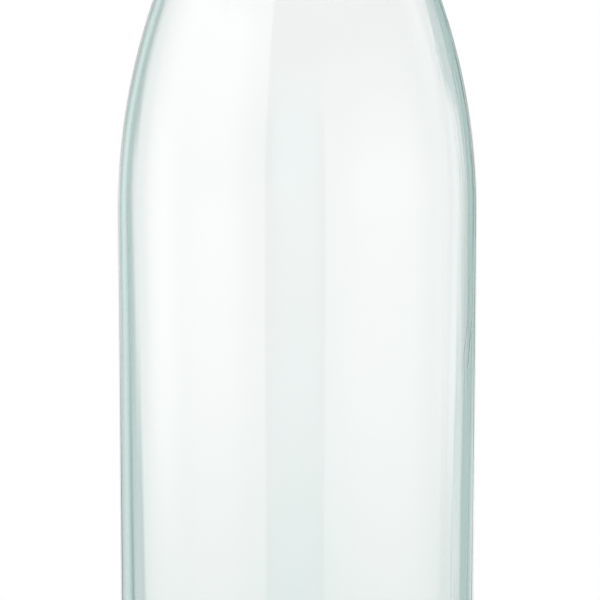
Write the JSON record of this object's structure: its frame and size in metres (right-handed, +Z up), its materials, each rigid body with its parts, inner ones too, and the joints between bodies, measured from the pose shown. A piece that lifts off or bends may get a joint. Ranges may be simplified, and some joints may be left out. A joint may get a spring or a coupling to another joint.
{
  "type": "growler",
  "caption": "Clear glass growler with a long sloping shoulder, closed by a porcelain stopper on an over-centre wire lever and bail.",
  "frame": {"origin": "middle of the ring that the bottle stands on", "axes": "+Z up along the bottle's axis; the thumb loop hangs at the front, -Y; the closure's pivots lie on +X and -X"},
  "size_m": [0.088, 0.088, 0.3048],
  "materials": {
    "glass": "clear soda-lime container glass with a faint green tint, fire-polished",
    "band": "stainless strip, cold-formed, lightly brushed along its length",
    "fastener": "stainless M4 screw and nut, tumbled bright",
    "wire": "drawn stainless spring wire",
    "porcelain": "white porcelain with a clear gloss glaze",
    "rubber": "soft red natural rubber washer"
  },
  "bodies": {
    "bottle": {"glass_bottle": "glass", "collar_half_left": "band", "collar_half_right": "band", "collar_screws": "fastener", "collar_nuts": "fastener"},
    "lever": {"lever_wire": "wire"},
    "bail": {"bail_wire": "wire"},
    "closure": {"stopper": "porcelain", "gasket": "rubber"}
  },
  "joints": [
    {"name": "lever_hinge", "type": "hinge", "parent": "bottle", "child": "lever", "pos_m": [0, 0, 0.27211], "axis": [-1, 0, 0], "range_deg": [0, 150]},
    {"name": "bail_hinge", "type": "hinge", "parent": "lever", "child": "bail", "pos_m": [0, 0.00146, 0.2602], "axis": [-1, 0, 0], "range_deg": [-102, 0]},
    {"name": "stopper_swivel", "type": "hinge", "parent": "bail", "child": "closure", "pos_m": [0, 0, 0.29711], "axis": [-1, 0, 0], "range_deg": [-49, 0]}
  ],
  "couplings": [
    {"joint": "bail_hinge", "follows": "lever_hinge", "ratio": -0.6773},
    {"joint": "stopper_swivel", "follows": "lever_hinge", "ratio": -0.3227}
  ]
}
